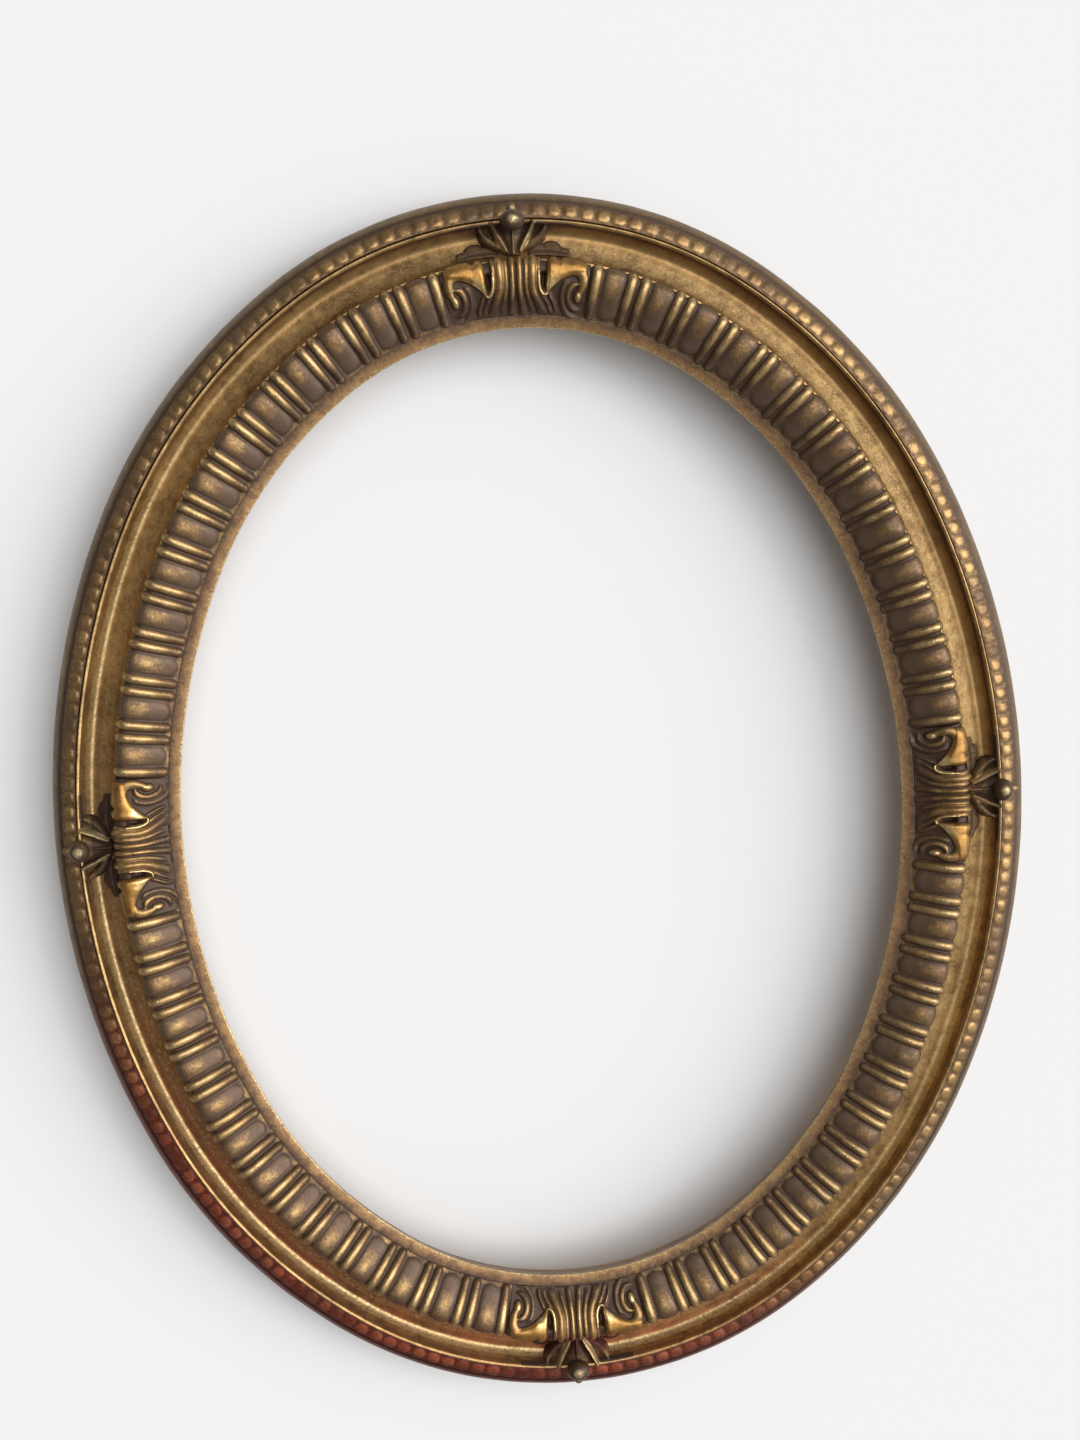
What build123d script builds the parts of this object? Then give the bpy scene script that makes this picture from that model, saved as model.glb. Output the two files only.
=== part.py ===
from build123d import *
from math import atan, cos, degrees, radians, sin
import os

# Oval picture frame, empty, standing upright as it hangs: +Z up, front towards -Y.
# The origin is the middle of the oval, on the plane of the frame's back.
# Lengths are in millimetres, angles in degrees.

# Sight opening and the turns where its three arcs per quarter meet
sight_width = 304.8
sight_height = 406.4
side_turn = 25.0
end_turn = 55.2
shoulder_radius_share = 0.955

# Bands of the moulding, from the sight edge outwards
sight_band_width = 6.5
gadroon_width = 21.0
cove_width = 14.0
fillet_width = 1.5
border_width = 7.5
edge_width = 4.5

# Heights of the moulding above the back
sight_edge_height = 23.2
seat_height = 24.0
cove_floor_height = 15.0
cove_floor_share = 0.5
cove_top_height = 22.0
fillet_height = 24.5
border_seat_height = 19.5
edge_height = 12.5
back_bevel = 1.5

# Sight lip, undercut behind its upright nose, and the rebate behind it
lip_nose = 0.8
lip_undercut = 2.5
rebate_width = 8.0
rebate_depth = 14.0

# Loose tongues in the joints of the carcase
tongue_width = 32.0
tongue_length = 24.0
tongue_thickness = 4.0
tongue_height = 7.0
tongue_clearance = 0.15

# Gadroon strips: their section rises from the sight side to a shoulder by the cove,
# and each motif is a reed, a wide lobe and a reed
gadroon_rise = 8.0
shoulder_round = 4.5
motif_count = 13
lobe_share = 0.44
reed_share = 0.28
groove_depth = 1.5
groove_sink = 0.5
groove_gap = 0.5
strip_gap = 0.3

# Leaf clasps at the four ends of the axes
clasp_length = 58.0
clasp_rise = 1.5
clasp_groove_depth = 1.6
frond_count = 7
frond_share = 0.065
leaf_share = 0.19
curl_share = 0.08
frond_rise_share = 0.7
curl_rise_share = 0.2

# Calyx and bud on the cove and fillet outside each clasp
calyx_width = 11.0
calyx_crown_rise = 2.0
calyx_gap = 0.3
bud_radius = 4.7
bud_sink = 1.5
bud_tip_radius = 2.6
bud_tip_reach = 6.0
bud_tip_drop = 2.0

# Border strips, half round
bead_width = 6.6
bead_rise = 3.2

# Turn buttons on the back, and their screws
button_length = 24.0
button_width = 9.0
button_thickness = 1.6
button_reach = 17.0
button_inset = 18.0
button_screw_radius = 1.5
button_screw_depth = 12.0
button_head_radius = 3.0
button_head_height = 1.6

# Hanger plates, their rings and screws
hanger_turn = 17.0
hanger_inset = 30.0
hanger_width = 14.0
hanger_length = 32.0
hanger_thickness = 1.2
hanger_corner_radius = 4.5
hanger_screw_spacing = 14.0
hanger_screw_radius = 1.4
hanger_head_radius = 2.6
hanger_screw_depth = 10.0
ring_wire_radius = 1.2
ring_bend_radius = 10.0
knuckle_wall = 1.2
knuckle_lift = 0.1
head_angle = 90.0

# Shared clearances
running_gap = 0.3
pivot_clearance = 0.1
screw_clearance = 0.1
slot_width = 0.8
slot_depth = 0.6
overrun = 2.0

os.makedirs("parts", exist_ok=True)

front = Vector(0, -1, 0)
back = Vector(0, 1, 0)

# Distances of the bands from the sight edge
gadroon_start = sight_band_width
gadroon_end = gadroon_start + gadroon_width
gadroon_middle = gadroon_start + gadroon_width / 2
fillet_start = gadroon_end + cove_width
fillet_end = fillet_start + fillet_width
fillet_middle = fillet_start + fillet_width / 2
border_end = fillet_end + border_width
border_middle = fillet_end + border_width / 2
outer_edge = border_end + edge_width
cove_floor = gadroon_end + cove_floor_share * cove_width
seat_start = gadroon_start - clasp_rise - running_gap


def outward(turn):
    return Vector(cos(radians(turn)), 0, sin(radians(turn)))


# Radii of the three arcs that make one quarter of the sight oval: the shoulder arc is chosen,
# and the side and end arcs follow, so that all three join smoothly and reach the half axes
half_width = sight_width / 2
half_height = sight_height / 2
mean_square = (half_width**2 + half_height**2) / 2
shoulder_radius = shoulder_radius_share * mean_square**1.5 / (half_width * half_height)
side_normal = outward(side_turn)
end_normal = outward(end_turn)
reach_across = half_width - shoulder_radius * (side_normal.X - end_normal.X)
reach_up = half_height + shoulder_radius * (side_normal.Z - end_normal.Z)
solver = (1 - side_normal.X) * (1 - end_normal.Z) - end_normal.X * side_normal.Z
side_radius = (reach_across * (1 - end_normal.Z) - end_normal.X * reach_up) / solver
end_radius = ((1 - side_normal.X) * reach_up - side_normal.Z * reach_across) / solver

side_centre = Vector(half_width - side_radius, 0, 0)
shoulder_centre = side_centre + side_normal * (side_radius - shoulder_radius)
end_centre = Vector(0, 0, half_height - end_radius)

# The upper right quarter, from the right-hand end of the short axis to the top
quarter = [
    (side_centre, side_radius, 0, side_turn),
    (shoulder_centre, shoulder_radius, side_turn, end_turn),
    (end_centre, end_radius, end_turn, 90),
]


def across_x(point):
    return Vector(-point.X, point.Y, point.Z)


def across_z(point):
    return Vector(point.X, point.Y, -point.Z)


# The eight carcase segments: centre, radius, first turn and sweep of each arc
shoulder_sweep = end_turn - side_turn
segments = {
    "right": (side_centre, side_radius, -side_turn, 2 * side_turn),
    "upper_right": (shoulder_centre, shoulder_radius, side_turn, shoulder_sweep),
    "top": (end_centre, end_radius, end_turn, 180 - 2 * end_turn),
    "upper_left": (across_x(shoulder_centre), shoulder_radius, 180 - end_turn, shoulder_sweep),
    "left": (across_x(side_centre), side_radius, 180 - side_turn, 2 * side_turn),
    "lower_left": (across_z(across_x(shoulder_centre)), shoulder_radius, 180 + side_turn, shoulder_sweep),
    "bottom": (across_z(end_centre), end_radius, 180 + end_turn, 180 - 2 * end_turn),
    "lower_right": (across_z(shoulder_centre), shoulder_radius, 360 - end_turn, shoulder_sweep),
}


def section_plane(centre, turn):
    return Plane(origin=centre, x_dir=outward(turn), z_dir=outward(turn).cross(front))


def place(arc, turn, inset, height):
    centre, radius = arc[:2]
    return centre + outward(turn) * (radius + inset) + front * height


def quarter_length(inset):
    return sum(radians(last - first) * (radius + inset) for _, radius, first, last in quarter)


def walk(distance, inset):
    for arc in quarter:
        _, radius, first, last = arc
        arc_length = radians(last - first) * (radius + inset)
        if distance <= arc_length:
            break
        distance -= arc_length
    else:
        distance += arc_length
    return arc, first + degrees(distance / (radius + inset))


def ornament_plane(arc, turn):
    along = outward(turn).cross(front)
    return Plane(origin=place(arc, turn, gadroon_middle, seat_height), x_dir=along, z_dir=front)


def half_round(radius, width, rise, middle, seat):
    Line((radius + middle + width / 2, seat), (radius + middle - width / 2, seat))
    ThreePointArc(
        (radius + middle - width / 2, seat),
        (radius + middle, seat + rise),
        (radius + middle + width / 2, seat),
    )


# Section of the gadroon and the clasps, drawn in by the inset all round but at its foot
def leaning_round(radius, inset, seat):
    start = radius + gadroon_start + inset
    end = radius + gadroon_end - inset
    top = seat + gadroon_rise - inset
    corner = shoulder_round - inset
    Polyline((start, seat), (end, seat), (end, top - corner))
    RadiusArc((end, top - corner), (end - corner, top), -corner)
    TangentArc((end - corner, top), (start, seat), tangent=(-1, 0))


# Back hardware places: a turn button at the middle of each side and shoulder,
# a hanger plate on the upper part of each side
button_places = {
    name: (segments[name], segments[name][2] + segments[name][3] / 2)
    for name in segments
    if name not in ("top", "bottom")
}
hanger_places = {
    "right": place(segments["right"], hanger_turn, hanger_inset, 0),
    "left": place(segments["left"], 180 - hanger_turn, hanger_inset, 0),
}


def button_pivot(name, height):
    arc, turn = button_places[name]
    along = outward(turn).cross(front)
    return Plane(origin=place(arc, turn, button_inset, height), x_dir=along, z_dir=back)


def hanger_screw_planes(name, height):
    middle = hanger_places[name] + front * height
    step = Vector(0, 0, hanger_screw_spacing / 2)
    return [Plane(origin=middle + shift, x_dir=(1, 0, 0), z_dir=back) for shift in (step, -step)]


def joint_plane(arc, turn):
    middle = (rebate_width + outer_edge) / 2
    return Plane(
        origin=place(arc, turn, middle, tongue_height),
        x_dir=outward(turn),
        z_dir=outward(turn).cross(front),
    )


# Carcase: eight sawn segments with the whole moulding worked on them
for name, arc in segments.items():
    centre, radius, first, sweep = arc
    with BuildPart() as carcase:
        with BuildSketch(section_plane(centre, first)):
            with BuildLine():
                Polyline(
                    (radius + outer_edge - back_bevel, 0),
                    (radius + rebate_width, 0),
                    (radius + rebate_width, rebate_depth),
                    (radius + lip_undercut, rebate_depth),
                    (radius, sight_edge_height - lip_nose),
                    (radius, sight_edge_height),
                    (radius + seat_start, seat_height),
                    (radius + gadroon_end, seat_height),
                )
                ThreePointArc(
                    (radius + gadroon_end, seat_height),
                    (radius + cove_floor, cove_floor_height),
                    (radius + fillet_start, cove_top_height),
                )
                Polyline(
                    (radius + fillet_start, cove_top_height),
                    (radius + fillet_start, fillet_height),
                    (radius + fillet_end, fillet_height),
                    (radius + fillet_end, border_seat_height),
                    (radius + border_end, border_seat_height),
                )
                TangentArc(
                    (radius + outer_edge, edge_height),
                    (radius + border_end, border_seat_height),
                    tangent=(0, 1),
                )
                Polyline(
                    (radius + outer_edge, edge_height),
                    (radius + outer_edge, back_bevel),
                    (radius + outer_edge - back_bevel, 0),
                )
            make_face()
        revolve(axis=Axis(centre, front), revolution_arc=sweep)
        with Locations(joint_plane(arc, first), joint_plane(arc, first + sweep)):
            Box(
                tongue_width + 2 * tongue_clearance,
                tongue_thickness + 2 * tongue_clearance,
                tongue_length + 2 * tongue_clearance,
                mode=Mode.SUBTRACT,
            )
        if name in button_places:
            with Locations(button_pivot(name, 0)):
                Cylinder(
                    button_screw_radius + screw_clearance,
                    2 * (button_screw_depth + screw_clearance),
                    mode=Mode.SUBTRACT,
                )
        if name in hanger_places:
            with Locations(*hanger_screw_planes(name, 0)):
                Cylinder(
                    hanger_screw_radius + screw_clearance,
                    2 * (hanger_screw_depth + screw_clearance),
                    mode=Mode.SUBTRACT,
                )
    carcase.part.label = f"carcase_{name}"
    export_step(carcase.part, f"parts/carcase_{name}.step")

# Loose tongues, one across each joint of the carcase
with BuildPart() as tongues:
    with Locations(*[joint_plane(arc, arc[2]) for arc in segments.values()]):
        Box(tongue_width, tongue_thickness, tongue_length)
tongues.part.label = "joint_tongues"
export_step(tongues.part, "parts/joint_tongues.step")


# Ridge that lies across the gadroon's bed: the leaning section, narrowing towards both sides
def ridge(width, inset, side_inset):
    with BuildPart() as wedge:
        with BuildSketch(Plane.YZ):
            with BuildLine():
                leaning_round(-gadroon_middle, inset, 0)
            make_face()
        extrude(amount=width / 2, both=True, taper=degrees(atan((side_inset - inset) / (width / 2))))
    return wedge.part


# Gadroon strip of one quarter: a core with reeds and lobes across it
clasp_end = clasp_length / 2 + strip_gap
strip_length = quarter_length(gadroon_middle) - 2 * clasp_end
motif_pitch = strip_length / motif_count
reed_width = reed_share * motif_pitch
lobe_width = lobe_share * motif_pitch
reed = ridge(reed_width - groove_gap, 0, groove_depth + groove_sink)
lobe = ridge(lobe_width - groove_gap, 0, groove_depth + groove_sink)

lobe_planes = []
reed_planes = []
for motif in range(motif_count):
    motif_start = clasp_end + motif * motif_pitch
    lobe_planes.append(ornament_plane(*walk(motif_start + motif_pitch / 2, gadroon_middle)))
    reed_planes.append(ornament_plane(*walk(motif_start + reed_width / 2, gadroon_middle)))
    reed_planes.append(ornament_plane(*walk(motif_start + motif_pitch - reed_width / 2, gadroon_middle)))

first_turn = walk(clasp_end, gadroon_middle)[1]
last_turn = walk(clasp_end + strip_length, gadroon_middle)[1]
with BuildPart() as gadroon:
    for centre, radius, first, last in quarter:
        start = max(first, first_turn)
        sweep = min(last, last_turn) - start
        with BuildSketch(section_plane(centre, start)):
            with BuildLine():
                leaning_round(radius, groove_depth, seat_height)
            make_face()
        revolve(axis=Axis(centre, front), revolution_arc=sweep)
    with Locations(*lobe_planes):
        add(lobe)
    with Locations(*reed_planes):
        add(reed)

# Border strip of one quarter, a half-round bead
border_turn = degrees(strip_gap / 2 / (end_radius + border_middle))
with BuildPart() as border:
    for centre, radius, first, last in quarter:
        start = max(first, border_turn)
        sweep = min(last, 90 - border_turn) - start
        with BuildSketch(section_plane(centre, start)):
            with BuildLine():
                half_round(radius, bead_width, bead_rise, border_middle, border_seat_height)
            make_face()
        revolve(axis=Axis(centre, front), revolution_arc=sweep)

quarter_mirrors = {
    "upper_right": [],
    "upper_left": [Plane.YZ],
    "lower_left": [Plane.YZ, Plane.XY],
    "lower_right": [Plane.XY],
}
for name, planes in quarter_mirrors.items():
    with BuildPart() as gadroon_strip:
        add(gadroon.part)
        for plane in planes:
            mirror(about=plane, mode=Mode.REPLACE)
    gadroon_strip.part.label = f"gadroon_{name}"
    export_step(gadroon_strip.part, f"parts/gadroon_{name}.step")
    with BuildPart() as border_strip:
        add(border.part)
        for plane in planes:
            mirror(about=plane, mode=Mode.REPLACE)
    border_strip.part.label = f"border_{name}"
    export_step(border_strip.part, f"parts/border_{name}.step")

# Leaf clasps: fronds in the middle, a broad leaf on each side and a curl at each end
clasp_inset = clasp_groove_depth - clasp_rise
fronds = [(frond_share, frond_rise_share)] * frond_count
clasp_row = [(curl_share, curl_rise_share), (leaf_share, 1)] + fronds
clasp_row = clasp_row + [(leaf_share, 1), (curl_share, curl_rise_share)]
clasp_span = sum(share for share, _ in clasp_row)
clasp_shapes = {
    kind: ridge(
        kind[0] * clasp_length / clasp_span - groove_gap,
        clasp_inset - clasp_groove_depth * kind[1],
        clasp_inset + groove_sink,
    )
    for kind in set(clasp_row)
}
clasp_sites = {"right": (segments["right"], 0), "top": (segments["top"], 90)}
clasp_mirrors = {"right": ("left", Plane.YZ), "top": ("bottom", Plane.XY)}

for name, (arc, turn) in clasp_sites.items():
    centre, radius = arc[:2]
    half_sweep = degrees(clasp_length / 2 / (radius + gadroon_middle))
    along = -clasp_length / 2
    row = []
    for kind in clasp_row:
        width = kind[0] * clasp_length / clasp_span
        step = degrees((along + width / 2) / (radius + gadroon_middle))
        row.append((clasp_shapes[kind], ornament_plane(arc, turn + step)))
        along += width
    with BuildPart() as clasp:
        with BuildSketch(section_plane(centre, turn - half_sweep)):
            with BuildLine():
                leaning_round(radius, clasp_inset, seat_height)
            make_face()
        revolve(axis=Axis(centre, front), revolution_arc=2 * half_sweep)
        for shape, plane in row:
            with Locations(plane):
                add(shape)
    clasp.part.label = f"leaf_clasp_{name}"
    export_step(clasp.part, f"parts/leaf_clasp_{name}.step")
    other_name, mirror_plane = clasp_mirrors[name]
    with BuildPart() as other_clasp:
        mirror(clasp.part, about=mirror_plane)
    other_clasp.part.label = f"leaf_clasp_{other_name}"
    export_step(other_clasp.part, f"parts/leaf_clasp_{other_name}.step")

# Buds: a ball and a tip on the fillet, and a calyx that fills the cove behind them
calyx_start = gadroon_end + clasp_rise + running_gap
bud_height = fillet_height + bud_radius - bud_sink
calyx_crown_height = seat_height + calyx_crown_rise
for name, (arc, turn) in clasp_sites.items():
    centre, radius = arc[:2]
    half_sweep = degrees(calyx_width / 2 / (radius + cove_floor))
    tip_inset = fillet_middle + bud_tip_reach
    with BuildPart() as bud:
        with Locations(Plane(origin=place(arc, turn, fillet_middle, bud_height), z_dir=front)):
            Sphere(bud_radius)
        with Locations(Plane(origin=place(arc, turn, tip_inset, bud_height - bud_tip_drop), z_dir=front)):
            Sphere(bud_tip_radius)
        fillet_top = Plane(origin=place(arc, turn, fillet_middle, fillet_height), z_dir=front)
        split(bisect_by=fillet_top, keep=Keep.TOP)
        with BuildSketch(section_plane(centre, turn - half_sweep)):
            with BuildLine():
                ThreePointArc(
                    (radius + gadroon_end + calyx_gap, seat_height),
                    (radius + cove_floor, cove_floor_height + calyx_gap),
                    (radius + fillet_start - calyx_gap, cove_top_height),
                )
                Line(
                    (radius + fillet_start - calyx_gap, cove_top_height),
                    (radius + fillet_start - calyx_gap, bud_height),
                )
                ThreePointArc(
                    (radius + fillet_start - calyx_gap, bud_height),
                    (radius + cove_floor, calyx_crown_height),
                    (radius + gadroon_end + calyx_gap, seat_height),
                )
            make_face()
            with Locations((radius + calyx_start, 0)):
                Rectangle(
                    gadroon_width,
                    2 * (calyx_crown_height + overrun),
                    align=(Align.MAX, Align.CENTER),
                    mode=Mode.SUBTRACT,
                )
        revolve(axis=Axis(centre, front), revolution_arc=2 * half_sweep)
    bud.part.label = f"bud_{name}"
    export_step(bud.part, f"parts/bud_{name}.step")
    other_name, mirror_plane = clasp_mirrors[name]
    with BuildPart() as other_bud:
        mirror(bud.part, about=mirror_plane)
    other_bud.part.label = f"bud_{other_name}"
    export_step(other_bud.part, f"parts/bud_{other_name}.step")

# Turn buttons, shown turned aside along the back of the moulding
for name in button_places:
    with BuildPart() as button:
        with BuildSketch(button_pivot(name, -running_gap)):
            with Locations((button_reach - button_length / 2, 0)):
                SlotOverall(button_length, button_width)
            Circle(button_screw_radius + pivot_clearance, mode=Mode.SUBTRACT)
        extrude(amount=button_thickness)
    button.part.label = f"turn_button_{name}"
    export_step(button.part, f"parts/turn_button_{name}.step")

# Round-head screws that the turn buttons pivot on
button_head_base = 2 * running_gap + button_thickness
button_head_top = button_head_base + button_head_height
with BuildPart() as button_screws:
    with Locations(*[button_pivot(name, button_screw_depth) for name in button_places]):
        Cylinder(
            button_screw_radius,
            button_screw_depth + button_head_base,
            align=(Align.CENTER, Align.CENTER, Align.MIN),
        )
    with Locations(*[button_pivot(name, -button_head_base) for name in button_places]):
        Cylinder(
            button_head_radius,
            button_head_height,
            align=(Align.CENTER, Align.CENTER, Align.MIN),
        )
    with Locations(*[button_pivot(name, -button_head_top) for name in button_places]):
        Box(2 * (button_head_radius + overrun), slot_width, 2 * slot_depth, mode=Mode.SUBTRACT)
button_screws.part.label = "turn_button_screws"
export_step(button_screws.part, "parts/turn_button_screws.step")

# Hanger plates with a rolled knuckle at the foot, and the rings that hang from them
knuckle_bore = ring_wire_radius + pivot_clearance
knuckle_radius = knuckle_bore + knuckle_wall
knuckle_axis = knuckle_radius + knuckle_lift
sideways = Vector(1, 0, 0)
for name, middle in hanger_places.items():
    knuckle_middle = middle - Vector(0, 0, hanger_length / 2) + back * knuckle_axis
    knuckle_plane = Plane(origin=knuckle_middle, x_dir=back, z_dir=sideways)
    with BuildPart() as hanger:
        with BuildSketch(Plane(origin=middle, x_dir=sideways, z_dir=back)):
            Rectangle(hanger_width, hanger_length)
        extrude(amount=hanger_thickness)
        top_corners = hanger.edges().filter_by(Axis.Y).group_by(Axis.Z)[-1]
        fillet(top_corners, radius=hanger_corner_radius)
        with Locations(knuckle_plane):
            Cylinder(knuckle_radius, hanger_width)
            Cylinder(knuckle_bore, hanger_width + overrun, mode=Mode.SUBTRACT)
        with Locations(*hanger_screw_planes(name, -hanger_thickness)):
            CounterSinkHole(
                hanger_screw_radius + screw_clearance,
                hanger_head_radius + screw_clearance,
                hanger_thickness + overrun,
                head_angle,
            )
    hanger.part.label = f"hanger_plate_{name}"
    export_step(hanger.part, f"parts/hanger_plate_{name}.step")

    bend_start = knuckle_middle - sideways * ring_bend_radius
    bend_end = knuckle_middle + sideways * ring_bend_radius
    with BuildPart() as ring:
        with Locations(knuckle_plane):
            Cylinder(ring_wire_radius, 2 * ring_bend_radius)
        with Locations(bend_start, bend_end):
            Sphere(ring_wire_radius)
        with BuildSketch(Plane(origin=bend_end, x_dir=sideways, z_dir=(0, 0, 1))):
            Circle(ring_wire_radius)
        revolve(axis=Axis(knuckle_middle, back), revolution_arc=180)
    ring.part.label = f"hanger_ring_{name}"
    export_step(ring.part, f"parts/hanger_ring_{name}.step")

# Countersunk screws of the hanger plates
head_depth = hanger_head_radius - hanger_screw_radius
with BuildPart() as hanger_screws:
    for name in hanger_places:
        with Locations(*hanger_screw_planes(name, hanger_screw_depth)):
            Cylinder(
                hanger_screw_radius,
                hanger_screw_depth + hanger_thickness - head_depth,
                align=(Align.CENTER, Align.CENTER, Align.MIN),
            )
        with Locations(*hanger_screw_planes(name, head_depth - hanger_thickness)):
            Cone(
                hanger_screw_radius,
                hanger_head_radius,
                head_depth,
                align=(Align.CENTER, Align.CENTER, Align.MIN),
            )
        with Locations(*hanger_screw_planes(name, -hanger_thickness)):
            Box(2 * (hanger_head_radius + overrun), slot_width, 2 * slot_depth, mode=Mode.SUBTRACT)
hanger_screws.part.label = "hanger_screws"
export_step(hanger_screws.part, "parts/hanger_screws.step")
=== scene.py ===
import math

import bmesh
import bpy
import numpy as np
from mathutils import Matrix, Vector, noise


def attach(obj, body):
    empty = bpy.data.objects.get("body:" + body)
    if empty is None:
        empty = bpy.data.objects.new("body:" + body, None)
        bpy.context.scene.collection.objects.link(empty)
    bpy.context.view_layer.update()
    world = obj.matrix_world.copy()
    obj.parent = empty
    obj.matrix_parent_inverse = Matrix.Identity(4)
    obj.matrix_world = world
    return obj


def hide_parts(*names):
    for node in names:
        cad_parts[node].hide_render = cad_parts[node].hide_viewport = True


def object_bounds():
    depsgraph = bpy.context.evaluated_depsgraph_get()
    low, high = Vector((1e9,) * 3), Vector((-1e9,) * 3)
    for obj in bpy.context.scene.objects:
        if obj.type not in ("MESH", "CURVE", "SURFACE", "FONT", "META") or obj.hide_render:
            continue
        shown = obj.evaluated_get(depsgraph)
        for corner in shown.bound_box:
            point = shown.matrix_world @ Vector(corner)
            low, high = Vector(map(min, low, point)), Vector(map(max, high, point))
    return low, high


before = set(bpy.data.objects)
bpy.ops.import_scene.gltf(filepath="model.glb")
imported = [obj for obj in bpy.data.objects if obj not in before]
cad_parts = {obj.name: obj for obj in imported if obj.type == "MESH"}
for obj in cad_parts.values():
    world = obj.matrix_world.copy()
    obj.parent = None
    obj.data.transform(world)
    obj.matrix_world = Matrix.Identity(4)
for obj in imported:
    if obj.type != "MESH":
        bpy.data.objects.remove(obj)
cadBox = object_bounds()
mm = 0.001  # piece sizes below are in millimetres
print("frame loaded,", len(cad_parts), "nodes")


# The oval's line: three arcs to the quarter, turned from the right-hand side over the top

oval = {
    "sightWidth": 304.8,
    "sightHeight": 406.4,
    "sideTurn": 25.0,
    "endTurn": 55.2,
    "shoulderRadiusShare": 0.955,
    "ornamentLine": 17.0,  # lengths along the oval are measured this far out from the sight edge
}


def ovalArcs():
    halfWidth, halfHeight = oval["sightWidth"] / 2, oval["sightHeight"] / 2
    side, end = math.radians(oval["sideTurn"]), math.radians(oval["endTurn"])
    meanSquare = (halfWidth**2 + halfHeight**2) / 2
    shoulder = oval["shoulderRadiusShare"] * meanSquare**1.5 / (halfWidth * halfHeight)
    across = halfWidth - shoulder * (math.cos(side) - math.cos(end))
    upward = halfHeight + shoulder * (math.sin(side) - math.sin(end))
    solver = (1 - math.cos(side)) * (1 - math.sin(end)) - math.cos(end) * math.sin(side)
    sideRadius = (across * (1 - math.sin(end)) - math.cos(end) * upward) / solver
    endRadius = ((1 - math.cos(side)) * upward - math.sin(side) * across) / solver
    sideX, endZ = halfWidth - sideRadius, halfHeight - endRadius
    shoulderX = sideX + math.cos(side) * (sideRadius - shoulder)
    shoulderZ = math.sin(side) * (sideRadius - shoulder)
    half, sweep = math.pi, end - side
    return {
        "right": (sideX, 0, sideRadius, -side, 2 * side),
        "upper_right": (shoulderX, shoulderZ, shoulder, side, sweep),
        "top": (0, endZ, endRadius, end, half - 2 * end),
        "upper_left": (-shoulderX, shoulderZ, shoulder, half - end, sweep),
        "left": (-sideX, 0, sideRadius, half - side, 2 * side),
        "lower_left": (-shoulderX, -shoulderZ, shoulder, half + side, sweep),
        "bottom": (0, -endZ, endRadius, half + end, half - 2 * end),
        "lower_right": (shoulderX, -shoulderZ, shoulder, 2 * half - end, sweep),
    }


arcs = ovalArcs()
arcTable = np.array(list(arcs.values()))
arcLengths = arcTable[:, 4] * (arcTable[:, 2] + oval["ornamentLine"])
arcStarts = np.concatenate([[0], np.cumsum(arcLengths)[:-1]])
ovalLength = arcLengths.sum()
axisPlaces = {name: arcStarts[k] + arcLengths[k] / 2 for k, name in enumerate(arcs) if "_" not in name}
quarters = {
    "upper_right": (axisPlaces["right"], axisPlaces["top"]),
    "upper_left": (axisPlaces["top"], axisPlaces["left"]),
    "lower_left": (axisPlaces["left"], axisPlaces["bottom"]),
    "lower_right": (axisPlaces["bottom"], axisPlaces["right"] + ovalLength),
}


def bend(along, out, up):
    # straight strip lengths to places on the oval: along it, out from the sight edge, up from the back
    along = np.mod(along, ovalLength)
    k = np.searchsorted(arcStarts, along, side="right") - 1
    centreX, centreZ, radius, first = arcTable[k, 0], arcTable[k, 1], arcTable[k, 2], arcTable[k, 3]
    turn = first + (along - arcStarts[k]) / (radius + oval["ornamentLine"])
    reach = radius + out
    places = [centreX + reach * np.cos(turn), -up, centreZ + reach * np.sin(turn)]
    return np.stack(places, axis=-1) * mm


# Small shaping helpers


def rampUp(value, low, high):
    share = np.clip((value - low) / (high - low), 0, 1)
    return share * share * (3 - 2 * share)


def dome(distance, power=2.0):
    return np.sqrt(np.clip(1 - np.abs(distance) ** power, 0, 1))


def bump(x, y, halfX, halfY):
    return np.exp(-((x / halfX) ** 2) - (y / halfY) ** 2)


def curve(points, steps=48):
    # points along a Bezier line
    share = np.linspace(0, 1, steps)[:, None]
    line = [np.array(p, dtype=float) for p in points]
    while len(line) > 1:
        line = [a * (1 - share) + b * share for a, b in zip(line, line[1:])]
    return line[0]


def stroke(x, y, points, halves):
    # distance from a drawn line, in shares of its half-width there
    line = curve(points)
    widths = np.interp(np.linspace(0, 1, len(line)), np.linspace(0, 1, len(halves)), halves)
    nearest = np.full(x.shape, 9.0)
    for (px, py), width in zip(line, widths):
        nearest = np.minimum(nearest, np.hypot(x - px, y - py) / width)
    return nearest


def curveThrough(points, steps):
    # a smooth line through points, with some more between each two
    line = [np.array(p, dtype=float) for p in points]
    line = [2 * line[0] - line[1]] + line + [2 * line[-1] - line[-2]]
    shares = np.linspace(0, 1, steps, endpoint=False)
    drawn = []
    for a, b, c, d in zip(line, line[1:], line[2:], line[3:]):
        for s in shares:
            bent = 2 * a - 5 * b + 4 * c - d + s * (3 * (b - c) + d - a)
            drawn.append(b + 0.5 * s * (c - a + s * bent))
    return [tuple(p) for p in drawn] + [tuple(line[-2])]


def softened(field, rounds):
    for _ in range(rounds):
        field = np.pad(field, 1, mode="edge")
        field = (field[:-2] + 2 * field[1:-1] + field[2:]) / 4
        field = (field[:, :-2] + 2 * field[:, 1:-1] + field[:, 2:]) / 4
    return field


def handWork(x, y, size, seed):
    # slow unevenness of work done by hand, between -1 and 1
    spots = [noise.noise(Vector((a / size, b / size, seed))) for a, b in zip(x.ravel(), y.ravel())]
    return np.array(spots).reshape(x.shape)


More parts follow.
